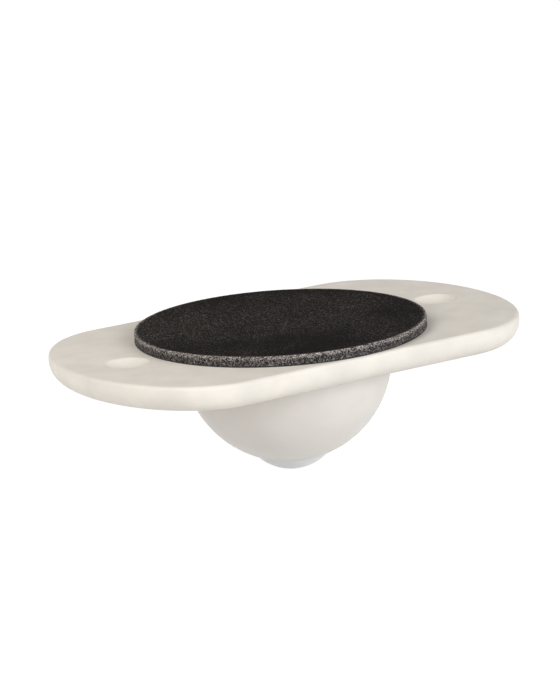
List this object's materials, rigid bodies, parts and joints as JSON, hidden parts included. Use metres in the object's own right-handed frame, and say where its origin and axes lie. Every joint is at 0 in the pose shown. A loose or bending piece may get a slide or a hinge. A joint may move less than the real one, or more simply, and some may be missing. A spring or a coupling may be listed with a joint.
{
  "type": "adhesive ball caster",
  "caption": "Low ball caster on a long round-ended plate with a black foam adhesive pad on top and a domed housing below, whose ball rolls on steel beads in every direction.",
  "frame": {"origin": "on the pad's upper adhesive face, on the vertical axis through the ball's centre", "axes": "+Z out of the adhesive face, away from the ball; +X along the plate's length; +Y across the plate"},
  "size_m": [0.06, 0.0376, 0.0189],
  "materials": {
    "plate_plastic": "fine satin, moulded",
    "dome_plastic": "satin, moulded, slightly translucent",
    "ball_plastic": "smooth, ground",
    "race_steel": "pressed and plated",
    "bead_steel": "polished",
    "foam": "open-cell cut edge",
    "adhesive_film": "tacky, fine-grained"
  },
  "bodies": {
    "housing": {"flange_plate": "plate_plastic", "dome_housing": "dome_plastic", "closure_cap": "dome_plastic", "bearing_cup": "race_steel", "foam_core": "foam", "adhesive_upper": "adhesive_film", "adhesive_lower": "adhesive_film"},
    "pivot_bead": {"pivot_bead": "bead_steel"},
    "ball": {"load_ball": "ball_plastic"},
    "inner_bead_1": {"inner_bead_1": "bead_steel"},
    "inner_bead_2": {"inner_bead_2": "bead_steel"},
    "inner_bead_3": {"inner_bead_3": "bead_steel"},
    "inner_bead_4": {"inner_bead_4": "bead_steel"},
    "inner_bead_5": {"inner_bead_5": "bead_steel"},
    "inner_bead_6": {"inner_bead_6": "bead_steel"},
    "outer_bead_1": {"outer_bead_1": "bead_steel"},
    "outer_bead_2": {"outer_bead_2": "bead_steel"},
    "outer_bead_3": {"outer_bead_3": "bead_steel"},
    "outer_bead_4": {"outer_bead_4": "bead_steel"},
    "outer_bead_5": {"outer_bead_5": "bead_steel"},
    "outer_bead_6": {"outer_bead_6": "bead_steel"},
    "outer_bead_7": {"outer_bead_7": "bead_steel"},
    "outer_bead_8": {"outer_bead_8": "bead_steel"},
    "outer_bead_9": {"outer_bead_9": "bead_steel"},
    "outer_bead_10": {"outer_bead_10": "bead_steel"},
    "outer_bead_11": {"outer_bead_11": "bead_steel"}
  },
  "joints": [
    {"name": "swivel", "type": "hinge", "parent": "housing", "child": "pivot_bead", "pos_m": [0, 0, -0.01255], "axis": [0, 0, 1], "continuous": true},
    {"name": "ball_roll", "type": "hinge", "parent": "pivot_bead", "child": "ball", "pos_m": [0, 0, -0.01255], "axis": [1, 0, 0], "continuous": true},
    {"name": "inner_bead_1_spin", "type": "hinge", "parent": "pivot_bead", "child": "inner_bead_1", "pos_m": [0.00315, 0, -0.00531], "axis": [0.9171, 0, -0.3987], "continuous": true},
    {"name": "inner_bead_2_spin", "type": "hinge", "parent": "pivot_bead", "child": "inner_bead_2", "pos_m": [0.00158, 0.00273, -0.00531], "axis": [0.9799, -0.0703, -0.1866], "continuous": true},
    {"name": "inner_bead_3_spin", "type": "hinge", "parent": "pivot_bead", "child": "inner_bead_3", "pos_m": [-0.00158, 0.00273, -0.00531], "axis": [0.9799, 0.0703, 0.1866], "continuous": true},
    {"name": "inner_bead_4_spin", "type": "hinge", "parent": "pivot_bead", "child": "inner_bead_4", "pos_m": [-0.00315, 0, -0.00531], "axis": [0.9171, 0, 0.3987], "continuous": true},
    {"name": "inner_bead_5_spin", "type": "hinge", "parent": "pivot_bead", "child": "inner_bead_5", "pos_m": [-0.00158, -0.00273, -0.00531], "axis": [0.9799, -0.0703, 0.1866], "continuous": true},
    {"name": "inner_bead_6_spin", "type": "hinge", "parent": "pivot_bead", "child": "inner_bead_6", "pos_m": [0.00158, -0.00273, -0.00531], "axis": [0.9799, 0.0703, -0.1866], "continuous": true},
    {"name": "outer_bead_1_spin", "type": "hinge", "parent": "pivot_bead", "child": "outer_bead_1", "pos_m": [0.00573, 0, -0.00711], "axis": [0.6884, 0, -0.7254], "continuous": true},
    {"name": "outer_bead_2_spin", "type": "hinge", "parent": "pivot_bead", "child": "outer_bead_2", "pos_m": [0.00482, 0.0031, -0.00711], "axis": [0.7922, -0.3021, -0.5302], "continuous": true},
    {"name": "outer_bead_3_spin", "type": "hinge", "parent": "pivot_bead", "child": "outer_bead_3", "pos_m": [0.00238, 0.00521, -0.00711], "axis": [0.9535, -0.2085, -0.2175], "continuous": true},
    {"name": "outer_bead_4_spin", "type": "hinge", "parent": "pivot_bead", "child": "outer_bead_4", "pos_m": [-0.00082, 0.00567, -0.00711], "axis": [0.9947, 0.0745, 0.0714], "continuous": true},
    {"name": "outer_bead_5_spin", "type": "hinge", "parent": "pivot_bead", "child": "outer_bead_5", "pos_m": [-0.00375, 0.00433, -0.00711], "axis": [0.88, 0.2959, 0.3716], "continuous": true},
    {"name": "outer_bead_6_spin", "type": "hinge", "parent": "pivot_bead", "child": "outer_bead_6", "pos_m": [-0.0055, 0.00161, -0.00711], "axis": [0.7181, 0.1981, 0.6672], "continuous": true},
    {"name": "outer_bead_7_spin", "type": "hinge", "parent": "pivot_bead", "child": "outer_bead_7", "pos_m": [-0.0055, -0.00161, -0.00711], "axis": [0.7181, -0.1981, 0.6672], "continuous": true},
    {"name": "outer_bead_8_spin", "type": "hinge", "parent": "pivot_bead", "child": "outer_bead_8", "pos_m": [-0.00375, -0.00433, -0.00711], "axis": [0.88, -0.2959, 0.3716], "continuous": true},
    {"name": "outer_bead_9_spin", "type": "hinge", "parent": "pivot_bead", "child": "outer_bead_9", "pos_m": [-0.00082, -0.00567, -0.00711], "axis": [0.9947, -0.0745, 0.0714], "continuous": true},
    {"name": "outer_bead_10_spin", "type": "hinge", "parent": "pivot_bead", "child": "outer_bead_10", "pos_m": [0.00238, -0.00521, -0.00711], "axis": [0.9535, 0.2085, -0.2175], "continuous": true},
    {"name": "outer_bead_11_spin", "type": "hinge", "parent": "pivot_bead", "child": "outer_bead_11", "pos_m": [0.00482, -0.0031, -0.00711], "axis": [0.7922, 0.3021, -0.5302], "continuous": true}
  ],
  "couplings": [
    {"joint": "inner_bead_1_spin", "follows": "ball_roll", "ratio": -3.8822},
    {"joint": "inner_bead_2_spin", "follows": "ball_roll", "ratio": -4.1483},
    {"joint": "inner_bead_3_spin", "follows": "ball_roll", "ratio": -4.1483},
    {"joint": "inner_bead_4_spin", "follows": "ball_roll", "ratio": -3.8822},
    {"joint": "inner_bead_5_spin", "follows": "ball_roll", "ratio": -4.1483},
    {"joint": "inner_bead_6_spin", "follows": "ball_roll", "ratio": -4.1483},
    {"joint": "outer_bead_1_spin", "follows": "ball_roll", "ratio": -2.9141},
    {"joint": "outer_bead_2_spin", "follows": "ball_roll", "ratio": -3.3538},
    {"joint": "outer_bead_3_spin", "follows": "ball_roll", "ratio": -4.0366},
    {"joint": "outer_bead_4_spin", "follows": "ball_roll", "ratio": -4.2107},
    {"joint": "outer_bead_5_spin", "follows": "ball_roll", "ratio": -3.7252},
    {"joint": "outer_bead_6_spin", "follows": "ball_roll", "ratio": -3.0398},
    {"joint": "outer_bead_7_spin", "follows": "ball_roll", "ratio": -3.0398},
    {"joint": "outer_bead_8_spin", "follows": "ball_roll", "ratio": -3.7252},
    {"joint": "outer_bead_9_spin", "follows": "ball_roll", "ratio": -4.2107},
    {"joint": "outer_bead_10_spin", "follows": "ball_roll", "ratio": -4.0366},
    {"joint": "outer_bead_11_spin", "follows": "ball_roll", "ratio": -3.3538}
  ]
}
